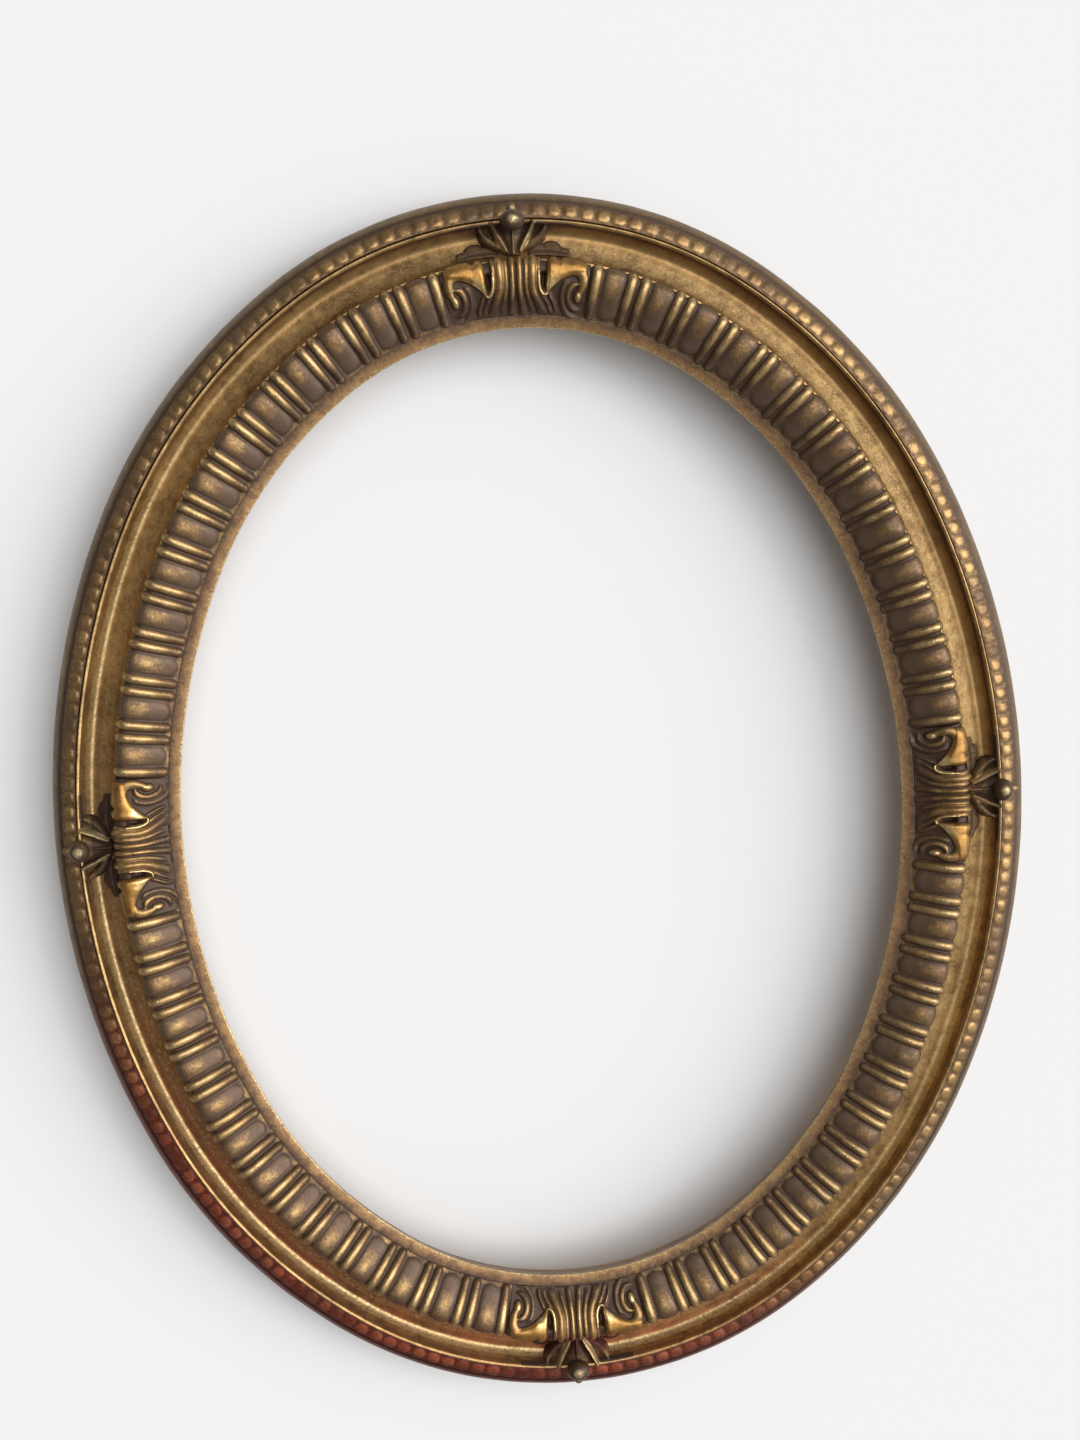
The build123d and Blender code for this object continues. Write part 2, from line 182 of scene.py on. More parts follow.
def stripMesh(alongSteps, acrossSteps):
    # a flat sheet whose long edges are joined under it and whose ends are closed
    bm = bmesh.new()
    bmesh.ops.create_grid(bm, x_segments=alongSteps, y_segments=acrossSteps, size=0.5)
    isLong = lambda e: all(abs(v.co.y) > 0.5 - 0.25 / acrossSteps for v in e.verts)
    longEdges = [e for e in bm.edges if e.is_boundary and isLong(e)]
    bmesh.ops.bridge_loops(bm, edges=longEdges)
    openEdges = [e for e in bm.edges if e.is_boundary]
    bmesh.ops.holes_fill(bm, edges=openEdges, sides=0)
    for e in longEdges + openEdges:
        e.smooth = False
    for f in bm.faces:
        f.smooth = True
    return bm


def finishMesh(name, bm):
    mesh = bpy.data.meshes.new(name)
    bm.to_mesh(mesh)
    bm.free()
    piece = bpy.data.objects.new(name, mesh)
    bpy.context.scene.collection.objects.link(piece)
    return piece


def facesOut(piece):
    bm = bmesh.new()
    bm.from_mesh(piece.data)
    bmesh.ops.recalc_face_normals(bm, faces=bm.faces)
    bm.to_mesh(piece.data)
    bm.free()


def pointsOf(piece):
    points = np.empty(len(piece.data.vertices) * 3, dtype=np.float32)
    piece.data.vertices.foreach_get("co", points)
    return points.reshape(-1, 3)


def movePoints(piece, places):
    piece.data.vertices.foreach_set("co", places.astype(np.float32).ravel())
    facesOut(piece)


def paint(piece, **layers):
    for name, values in layers.items():
        layer = piece.data.attributes.new(name, "FLOAT", "POINT")
        layer.data.foreach_set("value", np.ascontiguousarray(values, dtype=np.float32).ravel())


def dress(piece, materials, slot, *nodes):
    for material in materials:
        piece.data.materials.append(material)
    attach(piece, "frame")
    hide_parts(*nodes)


def stripPiece(name, alongSteps, acrossSteps, shape):
    # shape takes shares along and across, and gives places, and wear with painted light and shade, for each
    # point of the sheet
    piece = finishMesh(name, stripMesh(alongSteps, acrossSteps))
    flat = pointsOf(piece)
    row = np.rint((flat[:, 0] + 0.5) * alongSteps).astype(int)
    column = np.rint((flat[:, 1] + 0.5) * acrossSteps).astype(int)
    lines = [np.linspace(0, 1, steps + 1) for steps in (alongSteps, acrossSteps)]
    along, out, up, surfaceMarks = shape(*np.meshgrid(*lines, indexing="ij"))
    movePoints(piece, bend(along, out, up)[row, column])
    paint(piece, band=out[row, column], **{k: v[row, column] for k, v in surfaceMarks.items()})
    return piece


def reliefWear(relief, rounds, ridgeDepth, recessDepth):
    # what stands above its surroundings is rubbed bright, what lies below them keeps its dirt
    rise = relief - softened(relief, rounds)
    return {"ridge": np.clip(rise / ridgeDepth, 0, 1), "recess": np.clip(-rise / recessDepth, 0, 1)}


# Materials


class Nodes:
    def __init__(self, name, world=None):
        self.owner = world or bpy.data.materials.new(name)
        self.owner.use_nodes = True
        self.tree = self.owner.node_tree
        self.tree.nodes.clear()

    def add(self, kind, out=0, settings=(), **sockets):
        node = self.tree.nodes.new("ShaderNode" + kind)
        for key, value in dict(settings).items():
            setattr(node, key, value)
        for key, value in sockets.items():
            index = int(key[1:]) if key[0] == "i" and key[1:].isdigit() else key.replace("_", " ")
            if isinstance(value, bpy.types.NodeSocket):
                self.tree.links.new(value, node.inputs[index])
            else:
                node.inputs[index].default_value = value
        return node.outputs[out] if node.outputs else None

    def math(self, operation, a, b=0.0, c=0.0):
        return self.add("Math", settings={"operation": operation}, i0=a, i1=b, i2=c)

    def along(self, coords, way):
        # how far a place lies along a direction
        settings = {"operation": "DOT_PRODUCT"}
        return self.add("VectorMath", out=1, settings=settings, i0=coords, i1=way)

    def layer(self, name):
        return self.add("Attribute", out=2, settings={"attribute_name": name})

    def noise(self, coords, size, detail=4.0, roughness=0.55):
        return self.add("TexNoise", Vector=coords, Scale=1 / size, Detail=detail, Roughness=roughness)

    def span(self, value, low, high, toLow=0.0, toHigh=1.0):
        settings = {"interpolation_type": "SMOOTHSTEP"}
        return self.add("MapRange", settings=settings, i0=value, i1=low, i2=high, i3=toLow, i4=toHigh)

    def mix(self, share, a, b):
        return self.add("Mix", out=2, settings={"data_type": "RGBA"}, i0=share, i6=a, i7=b)

    def tint(self, share, a, b):
        settings = {"data_type": "RGBA", "blend_type": "MULTIPLY"}
        return self.add("Mix", out=2, settings=settings, i0=share, i6=a, i7=b)

    def ramp(self, value, *stops):
        node = self.tree.nodes.new("ShaderNodeValToRGB")
        self.tree.links.new(value, node.inputs[0])
        elements = node.color_ramp.elements
        while len(elements) < len(stops):
            elements.new(0.5)
        for element, (place, colour) in zip(elements, stops):
            element.position = place
            element.color = (*colour, 1)
        return node.outputs[0]

    def surface(self, shader):
        self.add("OutputMaterial", Surface=shader)
        return self.owner


gilding = {
    "deepGold": (0.17, 0.098, 0.043),
    "gold": (0.35, 0.212, 0.085),
    "paleGold": (0.54, 0.355, 0.150),
    "brightGold": (0.88, 0.70, 0.37, 1),
    "umber": (0.056, 0.031, 0.019, 1),
    "dust": (0.108, 0.066, 0.044, 1),
    "groundTint": (0.80, 0.27, 0.28, 1),
    "glaze": (1.0, 0.86, 0.60, 1),
    "bole": (0.135, 0.060, 0.028, 1),
    "edgeTone": (0.120, 0.083, 0.050, 1),
    "redSide": (-0.45, 0.0, -0.89),  # the side of the frame where the red ground shows most and a warm red is painted into the shade
    "shadedUpperSide": (0.5, 0.0, 0.87),  # the side where the fillet and the low parts of the lobes are painted in shade
    "shadedHollowSide": (-0.92, 0.0, -0.40),  # the side where the hollow is painted in shade
}


def gildedFinish(name):
    n = Nodes(name)
    coords = n.add("TexCoord", out=3)
    ridge, recess, dust, band = (n.layer(k) for k in ("ridge", "recess", "dust", "band"))
    patches = n.noise(coords, 0.022, 5.0, 0.6)
    mottle = n.noise(coords, 0.0045, 5.0, 0.65)
    specks = n.noise(coords, 0.0011, 3.0, 0.6)
    toned = n.math("MULTIPLY_ADD", mottle, 0.6, n.math("MULTIPLY", patches, 0.4))
    gold = n.ramp(toned, (0.36, gilding["deepGold"]), (0.5, gilding["gold"]), (0.66, gilding["paleGold"]))
    rough = n.math("SUBTRACT", specks, 0.5)
    # bright gold where the gilding is rubbed and where highlights are painted; umber where it is dirty and
    # where shade is painted
    rubbedAndHighlit = n.span(n.math("MULTIPLY_ADD", rough, 0.8, ridge), 0.25, 1.0)
    stainedAndShaded = n.math("MULTIPLY_ADD", n.math("SUBTRACT", mottle, 0.5), 0.5, recess)
    # painted shade in the hollow towards the left and lower left
    dark = n.along(coords, gilding["shadedHollowSide"])
    inCove = n.math("MULTIPLY", n.span(band, 27.0, 29.0), n.span(band, 38.2, 36.8))
    stainedAndShaded = n.math("MULTIPLY_ADD", inCove, n.span(dark, 0.04, 0.19, 0.0, 0.42), stainedAndShaded)
    # painted shade: the upper side is darkened along the fillet and low on the lobes, and the bright streak
    # beside the fillet is dimmed there
    lifted = n.along(coords, gilding["shadedUpperSide"])
    alongFillet = n.math("MULTIPLY", n.span(band, 36.4, 38.0), n.span(band, 42.0, 41.2))
    lowOnLobes = n.math("MULTIPLY", n.span(band, 19.0, 10.0), n.span(band, 5.6, 6.8, 0.0, 0.6))
    shaded = n.math("MULTIPLY", n.math("MAXIMUM", alongFillet, lowOnLobes), n.span(lifted, 0.02, 0.16))
    stainedAndShaded = n.math("MULTIPLY_ADD", shaded, 0.34, stainedAndShaded)
    rubbedAndHighlit = n.math("MULTIPLY", rubbedAndHighlit, n.math("MULTIPLY_ADD", shaded, -0.85, 1.0))
    soiledAndShaded = n.span(n.math("MULTIPLY_ADD", rough, 0.6, stainedAndShaded), 0.08, 0.8)
    dusty = n.span(n.math("MULTIPLY_ADD", rough, 1.0, dust), 0.1, 1.0, 0.0, 0.8)
    # the red ground shows on one side, most of all outside the gadroons, and on that side a warm red is
    # painted into the shade as well
    lean = n.along(coords, gilding["redSide"])
    low = n.span(lean, 0.10, 0.20)
    inHollow = n.math("MULTIPLY", n.span(band, 22.0, 29.0), n.span(patches, 0.36, 0.6, 0.4, 0.8))
    outside = n.math("MULTIPLY", n.span(band, 43.2, 44.5), n.span(patches, 0.3, 0.55, 0.85, 1.0))
    spared = n.math("MULTIPLY", n.span(band, 36.8, 38.4), n.span(band, 43.6, 43.1))
    hollow = n.math("MULTIPLY", inHollow, n.math("MULTIPLY_ADD", spared, -0.8, 1.0))
    redGroundAndShade = n.math("MULTIPLY", low, n.math("MAXIMUM", hollow, outside))
    sight = n.math("MULTIPLY", n.span(band, 6.0, 4.6), n.span(mottle, 0.38, 0.62, 0.3, 0.85))
    flank = n.math("MULTIPLY", n.span(band, 49.0, 51.5), n.span(mottle, 0.36, 0.62, 0.62, 0.92))
    colour = n.mix(flank, gold, gilding["edgeTone"])
    colour = n.mix(sight, colour, gilding["bole"])
    colour = n.mix(soiledAndShaded, colour, gilding["umber"])
    colour = n.mix(dusty, colour, gilding["dust"])
    colour = n.tint(redGroundAndShade, colour, gilding["groundTint"])
    colour = n.mix(rubbedAndHighlit, colour, gilding["brightGold"])
    colour = n.tint(n.layer("warm"), colour, gilding["glaze"])
    redGroundAndShade = n.math("MAXIMUM", redGroundAndShade, sight)
    covered = n.math("MAXIMUM", n.math("MAXIMUM", soiledAndShaded, dusty), n.math("MAXIMUM", redGroundAndShade, flank))
    covered = n.math("MULTIPLY", covered, n.math("SUBTRACT", 1.0, rubbedAndHighlit))
    metal = n.math("MULTIPLY_ADD", covered, -0.55, 0.80)
    dull = n.math("MULTIPLY_ADD", covered, 0.12, n.math("MULTIPLY_ADD", rubbedAndHighlit, -0.08, 0.24))
    satin = n.math("MULTIPLY", n.span(band, 27.5, 30.0), n.span(band, 41.6, 41.0))
    gloss = n.math("MULTIPLY_ADD", satin, 0.13, n.math("MULTIPLY_ADD", mottle, 0.16, dull))
    grain = n.math("MULTIPLY_ADD", specks, 0.5, mottle)
    relief = n.add("Bump", Height=grain, Strength=0.4, Distance=0.0004)
    shader = n.add("BsdfPrincipled", Base_Color=colour, Metallic=metal, Roughness=gloss,
                   Specular_IOR_Level=0.35, Normal=relief)
    return n.surface(shader)


wood = {
    "earlyWood": (0.44, 0.285, 0.150),
    "lateWood": (0.31, 0.185, 0.090),
    "oldTone": (0.20, 0.125, 0.068, 1),
}


def woodFinish(name, age):
    # grain is the piece's own attribute, metres along, across and into the board
    n = Nodes(name)
    grain = n.add("Attribute", out=1, settings={"attribute_name": "grain"})
    drawn = n.add("Mapping", Vector=grain, Scale=(0.06, 1, 1))
    sway = n.add("Mapping", Vector=grain, Scale=(0.25, 0.6, 0.6))
    figure = n.add("TexNoise", Vector=sway, Scale=28.0, Detail=2.0)
    rings = n.add("TexWave", Vector=drawn, Scale=40.0, Distortion=6.5, Detail=3.0, Detail_Scale=2.2,
                  settings={"bands_direction": "Y", "wave_profile": "SAW"}, out=1)
    fibres = n.add("TexNoise", Vector=drawn, Scale=900.0, Detail=4.0, Roughness=0.6)
    ringShare = n.math("MULTIPLY_ADD", figure, 0.35, n.math("MULTIPLY", rings, 0.65))
    colour = n.ramp(ringShare, (0.18, wood["earlyWood"]), (0.62, wood["lateWood"]))
    blotches = n.add("TexNoise", Vector=grain, Scale=16.0, Detail=5.0)
    aged = n.span(blotches, 0.35, 0.7, 0.15 * age, 0.8 * age)
    colour = n.mix(aged, colour, wood["oldTone"])
    colour = n.mix(n.span(fibres, 0.56, 0.72, 0.0, 0.5), colour, wood["oldTone"])
    gloss = n.span(fibres, 0.3, 0.7, 0.62, 0.82)
    height = n.math("MULTIPLY_ADD", rings, 0.12, fibres)
    relief = n.add("Bump", Height=height, Strength=0.3, Distance=0.0004)
    return n.surface(n.add("BsdfPrincipled", Base_Color=colour, Roughness=gloss, Normal=relief))


def oldMetal(name, bright, tarnish, spots):
    n = Nodes(name)
    coords = n.add("TexCoord", out=3)
    cloud = n.noise(coords, 0.006, 5.0, 0.6)
    fine = n.noise(coords, 0.0007, 3.0, 0.6)
    colour = n.mix(n.span(cloud, 0.35, 0.65), (*bright, 1), (*tarnish, 1))
    spotted = n.span(n.math("MULTIPLY_ADD", fine, 0.5, n.math("MULTIPLY", cloud, 0.5)), 0.53, 0.64)
    colour = n.mix(spotted, colour, (*spots, 1))
    metal = n.math("MULTIPLY_ADD", spotted, -0.6, 0.95)
    gloss = n.math("MULTIPLY_ADD", spotted, 0.3, n.span(cloud, 0.3, 0.7, 0.26, 0.46))
    relief = n.add("Bump", Height=fine, Strength=0.2, Distance=0.0002)
    shader = n.add("BsdfPrincipled", Base_Color=colour, Metallic=metal, Roughness=gloss, Normal=relief)
    return n.surface(shader)


giltMoulding = gildedFinish("giltMoulding")
giltOrnament = gildedFinish("giltOrnament")
barePine = woodFinish("barePine", 1.0)
bareBeech = woodFinish("bareBeech", 0.4)
agedSteel = oldMetal("agedSteel", (0.42, 0.40, 0.37), (0.24, 0.225, 0.205), (0.10, 0.052, 0.028))
agedBrass = oldMetal("agedBrass", (0.62, 0.45, 0.19), (0.34, 0.235, 0.095), (0.085, 0.066, 0.036))
print("materials made")


# Carcase: the moulding's section turned along each arc, gilded in front and bare behind

moulding = {
    "outer": 54.8,
    "backBevel": 1.5,
    "rebateWidth": 8.0,
    "rebateDepth": 14.0,
    "lipUndercut": 2.5,
    "lipNose": 0.8,
    "sightEdge": 23.1,
    "seatStart": 4.7,
    "seat": 23.95,
    "seatEnd": 27.5,
    # places across the hollow, from the gadroons to the fillet
    "cove": ((27.7, 20.4), (29.0, 19.3), (31.0, 18.1), (33.0, 17.15), (35.0, 16.4), (36.5, 15.97),
             (37.6, 15.92), (38.6, 16.35), (39.5, 17.2), (40.3, 18.45), (40.9, 20.0), (41.5, 22.0)),
    "filletHeight": 24.45,
    "filletSlant": 0.75,  # how far it drops towards the hollow
    "filletEnd": 43.0,
    "borderSeat": 19.5,
    "borderEnd": 50.5,
    "edgeHeight": 12.5,
    "edgeFacets": 8,
    "step": 2.5,  # length of one facet along the oval
    "sharpAngle": 32.0,  # edges are shown sharp from here on
    "gesso": (14.0, 0.10, 0.08),  # its unevenness: size, height, and how far it is set in
    # painted highlight bands across the hollow: where each begins, is full, fades and ends, and how bright it
    # is
    "highlightBands": ((28.0, 30.0, 34.0, 37.0, 0.38), (36.8, 38.2, 40.0, 41.0, 0.56)),
    # dirt in the corners: out, up, half-sizes, how much
    "dirtyCorners": ((5.4, 23.95, 0.8, 1.2, 0.4), (27.8, 22.5, 0.8, 1.8, 0.5), (41.3, 21.4, 0.7, 1.6, 0.45),
                     (43.6, 20.0, 1.1, 2.4, 0.7), (50.0, 19.5, 1.4, 1.2, 0.8)),
}


def coveHeight(out):
    across, heights = zip(*moulding["cove"])
    return np.interp(out, across, heights)


def corner(points, place, radius, steps=4):
    # swaps a corner of the section for a small arc
    before, at, after = (Vector(points[(place + k) % len(points)]) for k in (-1, 0, 1))
    into, onward = (before - at).normalized(), (after - at).normalized()
    half = into.angle(onward) / 2
    start = at + into * radius / math.tan(half)
    centre = at + (into + onward).normalized() * radius / math.sin(half)
    sweep = math.pi - 2 * half
    sign = 1 if into.cross(onward) < 0 else -1
    arm = start - centre
    turned = []
    for k in range(steps + 1):
        turn = sign * sweep * k / steps
        turned.append((centre.x + arm.x * math.cos(turn) - arm.y * math.sin(turn),
                       centre.y + arm.x * math.sin(turn) + arm.y * math.cos(turn)))
    return turned


def mouldingSection():
    m = moulding
    edgeRadius = ((m["outer"] - m["borderEnd"]) ** 2 + (m["borderSeat"] - m["edgeHeight"]) ** 2)
    edgeRadius /= 2 * (m["outer"] - m["borderEnd"])
    edgeSweep = math.asin((m["borderSeat"] - m["edgeHeight"]) / edgeRadius)
    # corners first: distance out, height, radius of the rounding
    front = [
        (m["lipUndercut"], m["rebateDepth"], 0.5),
        (0, m["sightEdge"] - m["lipNose"], 0.25),
        (0, m["sightEdge"], 0.55),
        (m["seatStart"], m["seat"], 1.0),
        (m["seatEnd"], m["seat"], 0.5),
    ]
    # the hollow's points are joined by a smooth line
    hollow = curveThrough(m["cove"], 4)
    front += [(out, up, 0) for out, up in hollow]
    front += [
        (m["cove"][-1][0], m["filletHeight"] - m["filletSlant"], 0.5),
        (m["filletEnd"], m["filletHeight"], 0.45),
        (m["filletEnd"], m["borderSeat"], 0.4),
        (m["borderEnd"], m["borderSeat"], 0),
    ]
    for k in range(1, m["edgeFacets"] + 1):
        turn = edgeSweep * (1 - k / m["edgeFacets"])
        out = m["outer"] - edgeRadius * (1 - math.cos(turn))
        front.append((out, m["edgeHeight"] + edgeRadius * math.sin(turn), 0))
    behind = [
        (m["outer"], m["backBevel"], 0.4),
        (m["outer"] - m["backBevel"], 0, 0.4),
        (m["rebateWidth"], 0, 0.5),
        (m["rebateWidth"], m["rebateDepth"], 0),
    ]
    rough = front + behind
    flat = [p[:2] for p in rough]
    section = []
    for k, (out, up, radius) in enumerate(rough):
        section += corner(flat, k, radius) if radius else [(out, up)]
    return section


section = mouldingSection()


def mouldingWearAndLight(out, up):
    m = moulding
    ridge = 0.75 * bump(out, up - m["sightEdge"], 0.6, 0.6)
    ridge += 0.5 * bump(out - 42.25, up - m["filletHeight"], 1.1, 0.7)
    # painted highlights: bright bands across the hollow
    for begins, full, fades, ends, share in m["highlightBands"]:
        ridge += share * rampUp(out, begins, full) * rampUp(-out, -ends, -fades)
    recess = 0.46 * rampUp(-out, -6.5, -5.5) * rampUp(up, 22.6, 23.0) * rampUp(out, 0.5, 1.0)
    for place, height, halfOut, halfUp, share in m["dirtyCorners"]:
        recess += share * bump(out - place, up - height, halfOut, halfUp)
    recess += 0.22 * rampUp(out, 43.5, 44.5)
    # painted shade on the lip's face below the sight edge
    recess += 0.75 * rampUp(-up, -m["sightEdge"] + 1.0, -m["sightEdge"] + 2.0) * rampUp(-out, -3.0, -2.6)
    dust = 0.25 * rampUp(out, 40.0, 40.8) * rampUp(-out, -41.7, -41.1)
    return np.clip(ridge, 0, 1), np.clip(recess, 0, 1), dust


def carcasePiece(name):
    centreX, centreZ, radius, first, sweep = arcs[name]
    steps = max(8, round(sweep * (radius + moulding["outer"]) / moulding["step"]))
    bm = bmesh.new()
    ring = []
    for out, up in section:
        reach = radius + out
        ring.append(bm.verts.new(Vector(
            (centreX + reach * math.cos(first), -up, centreZ + reach * math.sin(first))) * mm))
    edges = [bm.edges.new((a, b)) for a, b in zip(ring, ring[1:] + ring[:1])]
    bmesh.ops.spin(bm, geom=ring + edges, cent=Vector((centreX, 0, centreZ)) * mm, axis=(0, -1, 0),
                   angle=sweep, steps=steps, use_merge=False, use_duplicate=False)
    bmesh.ops.holes_fill(bm, edges=[e for e in bm.edges if e.is_boundary], sides=0)
    bmesh.ops.recalc_face_normals(bm, faces=bm.faces)
    for f in bm.faces:
        middle = f.calc_center_median() / mm
        out, up = math.hypot(middle.x - centreX, middle.z - centreZ) - radius, -middle.y
        bare = up < 0.6 or (up < moulding["rebateDepth"] + 0.1 and out < moulding["rebateWidth"] + 0.1)
        f.material_index = 1 if bare or len(f.verts) > 4 else 0
        f.smooth = True
    for e in bm.edges:
        e.smooth = e.calc_face_angle(0) < math.radians(moulding["sharpAngle"])
    # a little unevenness of the gesso, in front and at the sides
    size, height, setIn = moulding["gesso"]
    for v in bm.verts:
        if -v.co.y > 1.0 * mm:
            v.co += v.normal * noise.noise(v.co / (size * mm)) * height * mm - v.normal * setIn * mm
    piece = finishMesh("moulding_" + name, bm)
    co = pointsOf(piece) / mm
    out = np.hypot(co[:, 0] - centreX, co[:, 2] - centreZ) - radius
    ridge, recess, dust = mouldingWearAndLight(out, -co[:, 1])
    paint(piece, band=out, ridge=ridge, recess=recess, dust=dust)
    # the boards' grain runs straight along each segment
    middle = first + sweep / 2
    across = (co[:, 0] - centreX) * math.cos(middle) + (co[:, 2] - centreZ) * math.sin(middle)
    lengthwise = (co[:, 2] - centreZ) * math.cos(middle) - (co[:, 0] - centreX) * math.sin(middle)
    shift = 90.0 * list(arcs).index(name)
    layer = piece.data.attributes.new("grain", "FLOAT_VECTOR", "POINT")
    grain = np.stack([lengthwise + 3 * shift, across + shift, co[:, 1]], axis=-1) * mm
    layer.data.foreach_set("vector", grain.astype(np.float32).ravel())
    dress(piece, [giltMoulding, barePine], "gilded_pine", "carcase_" + name)


for name in arcs:
    carcasePiece(name)
print("carcase turned,", len(section), "points in the section")


# Gadroon strips: wide lobes, each between two reeds, over a bed that leans towards the sight edge

gadroon = {
    "motifs": 13,
    "endGap": 29.3,  # from the axis of the oval
    "foot": 5.2,
    "outside": 25.8,
    "top": 30.2,
    "shoulder": 3.0,
    "seat": 24.0,
    "rise": 1.75,
    "lobeHalf": 4.4,
    "reedHalf": 2.15,
    "reedPlace": 0.362,  # share of the pitch from the lobe's middle
    "lobeEnds": (0.9, 26.2),  # along the section, from its foot on the sight side
    "reedEnds": (-0.2, 26.9),
    "rows": 72,
    "step": 0.5,
    "unevenness": 0.09,
    "seed": 11,
}


def leaningSection(foot, outside, top, shoulder, seat, rows):
    # places and outward directions along the section, from the sight side over to the hollow
    crest = outside - shoulder
    reach, height = crest - foot, top - seat
    radius = (reach**2 + height**2) / (2 * height)
    share = np.linspace(0, 1, rows)
    swell = top - radius + np.sqrt(radius**2 - (reach * (1 - share)) ** 2)
    slope = 0.4 * swell + 0.6 * (seat + height * rampUp(share, 0, 1))
    turn = np.linspace(0, math.pi / 2, rows // 4)[1:]
    drop = np.linspace(top - shoulder, seat, rows // 8)[1:]
    out = np.concatenate([foot + reach * share, crest + shoulder * np.sin(turn), np.full_like(drop, outside)])
    up = np.concatenate([slope, top - shoulder + shoulder * np.cos(turn), drop])
    walked = np.concatenate([[0], np.cumsum(np.hypot(np.diff(out), np.diff(up)))])
    lean = np.arctan2(-np.gradient(up, walked), np.gradient(out, walked))
    return walked, out, up, lean


def onSection(bed, walked, raised):
    # places raised square to the section
    steps, out, up, lean = bed
    out, up, lean = (np.interp(walked, steps, line) for line in (out, up, lean))
    return out + raised * np.sin(lean), up + raised * np.cos(lean)


def capsule(x, across, half, ends):
    past = np.maximum(0, np.maximum(across - (ends[1] - half), ends[0] + half - across))
    return np.hypot(x, past) / half


def gadroonShape(start, length, seed):
    g = gadroon
    pitch = length / g["motifs"]
    chance = np.random.default_rng(g["seed"] + seed)
    jitter = chance.uniform(-1, 1, (g["motifs"] + 1, 6))
    bed = leaningSection(g["foot"], g["outside"], g["top"], g["shoulder"], g["seat"], 400)

    def shape(t, v):
        along, across = t * length, v * bed[0][-1]
        motif = np.clip((along / pitch).astype(int), 0, g["motifs"] - 1)
        x = along - (motif + 0.5) * pitch
        vary = jitter[motif]
        lobeHalf = g["lobeHalf"] * (1 + 0.025 * vary[..., 1])
        lobe = capsule(x - 0.12 * vary[..., 0], across, lobeHalf, g["lobeEnds"])
        swell = 0.86 - 0.2 * rampUp(-across, -18.0, -4.0)
        cushion = dome(lobe, 2.1) * swell * (0.95 + 0.05 * vary[..., 2])
        slim = 1 - 0.12 * rampUp(-across, -12.0, 0.0)
        reeds = np.zeros_like(x)
        for k, side in enumerate((-1, 1)):
            place = side * g["reedPlace"] * pitch + 0.12 * vary[..., 3 + k]
            reed = capsule((x - place) / slim, across, g["reedHalf"], g["reedEnds"])
            reeds = np.maximum(reeds, dome(reed, 1.8) * (0.97 + 0.03 * vary[..., 5]))
        relief = softened(np.maximum(cushion, reeds), 1)
        uneven = g["unevenness"] * (handWork(along + start, across, 5.0, 3.0) - 1)
        out, up = onSection(bed, across, g["rise"] * relief + uneven)
        surfaceMarks = reliefWear(relief * g["rise"], 12, 0.75, 0.75)
        inLobe = rampUp(cushion - reeds, -0.1, 0.2)
        faded = handWork(along + start, across, 6.0, 13.0)
        crest = rampUp(across, 4.0, 12.0)
        # a painted highlight patch in the middle of each lobe
        lobeHighlight = np.clip(bump(across - 14.5, x, 3.6, 1.7) * (0.7 + 0.8 * faded), 0, 1)
        surfaceMarks["recess"] = np.maximum(surfaceMarks["recess"], 0.95 * (1 - rampUp(relief, 0.2, 0.85)))
        surfaceMarks["recess"] = np.maximum(surfaceMarks["recess"], 0.5 - 0.1 * crest + 0.14 * inLobe + 0.14 * faded)
        surfaceMarks["recess"] = np.maximum(surfaceMarks["recess"] - 0.4 * inLobe * lobeHighlight, 0.6 * rampUp(across, 25.2, 27.2))
        surfaceMarks["recess"] = surfaceMarks["recess"] * (1 - 0.85 * surfaceMarks["ridge"] * crest)
        clean = rampUp(-across, -2.6, -1.4) * (1 - rampUp(relief, 0.1, 0.45)) * (0.7 + 0.6 * faded)
        surfaceMarks["recess"] = surfaceMarks["recess"] * (1 - 0.6 * clean)
        surfaceMarks["ridge"] = surfaceMarks["ridge"] * (1 - 0.97 * inLobe) * (0.15 + 0.85 * crest) + 0.3 * inLobe * lobeHighlight
        dusty = inLobe * (0.6 + 0.35 * faded - 0.5 * lobeHighlight) + 0.3 * (1 - crest)
        surfaceMarks["dust"] = np.clip(dusty, 0, 1) * (1 - clean)
        return along + start, out, up, surfaceMarks

    return shape


for k, (name, (first, last)) in enumerate(quarters.items()):
    start, length = first + gadroon["endGap"], last - first - 2 * gadroon["endGap"]
    steps = round(length / gadroon["step"])
    piece = stripPiece("gadroon_strip_" + name, steps, gadroon["rows"], gadroonShape(start, length, k))
    dress(piece, [giltOrnament], "gilded_composition", "gadroon_" + name)
print("gadroon strips made")


# Border strips: a close row of upright tongues outside the fillet

border = {
    "count": 55,  # tongues to the quarter
    "middle": 46.75,
    "seat": 19.5,
    "half": 3.3,
    "rise": 2.3,
    "tongue": (0.43, 2.65),  # half-length as a share of the pitch, half-width
    "shift": 0.6,
    "endGap": 0.2,
    "rows": 24,
    "step": 0.42,
    "unevenness": 0.12,
}


